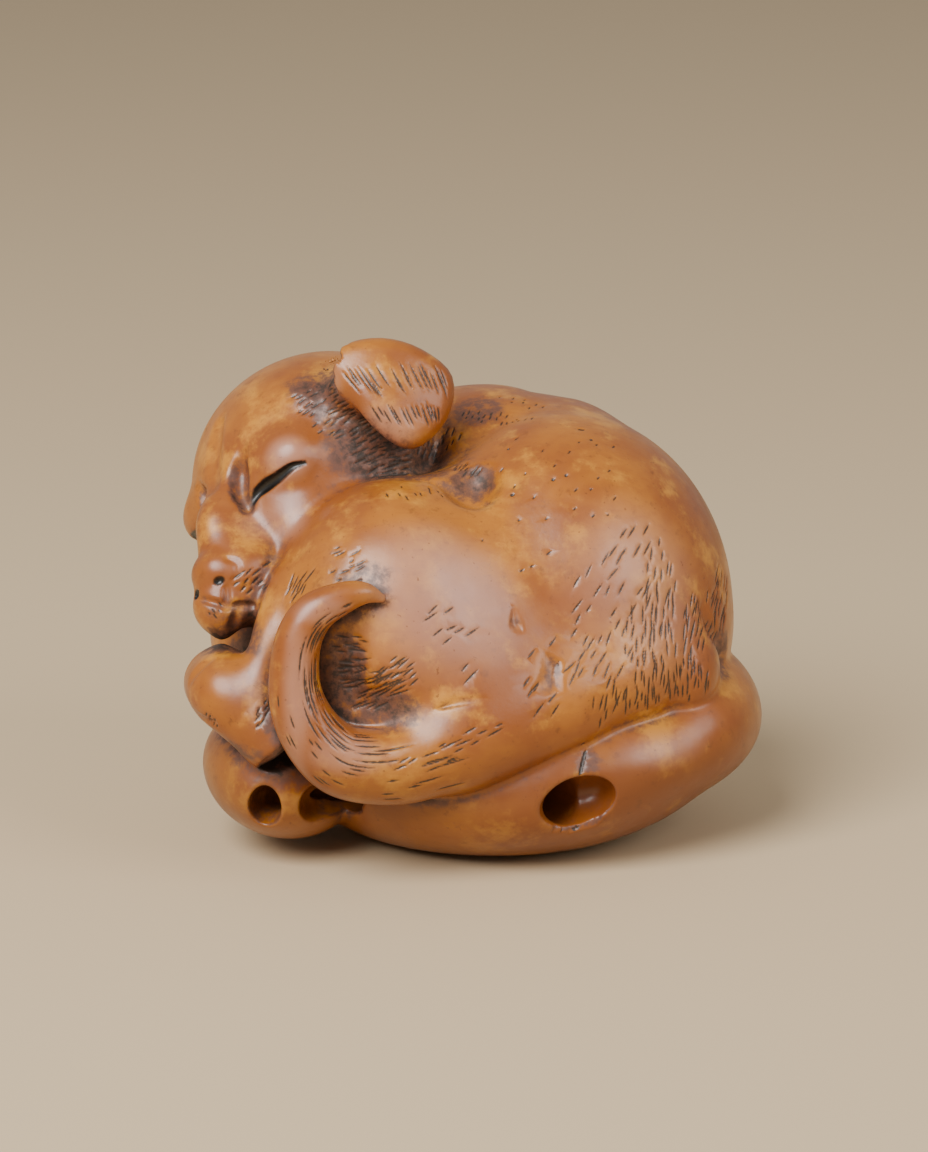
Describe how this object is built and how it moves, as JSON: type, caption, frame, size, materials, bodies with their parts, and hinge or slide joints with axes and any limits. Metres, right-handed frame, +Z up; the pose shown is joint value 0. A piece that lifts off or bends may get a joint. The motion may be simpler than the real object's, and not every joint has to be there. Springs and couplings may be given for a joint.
{
  "type": "netsuke",
  "caption": "Boxwood netsuke of a puppy asleep, curled nose to tail on a smooth round cushion with cord holes.",
  "frame": {"origin": "under the middle of the carving's box, on the surface it stands on", "axes": "+Z up; the side with the tail and the near side of the face looks to -Y; the rump is at +X and the muzzle at -X"},
  "size_m": [0.0404, 0.034, 0.0351],
  "materials": {
    "boxwood": "satin"
  },
  "bodies": {
    "root": {"netsuke": "boxwood"}
  },
  "joints": []
}
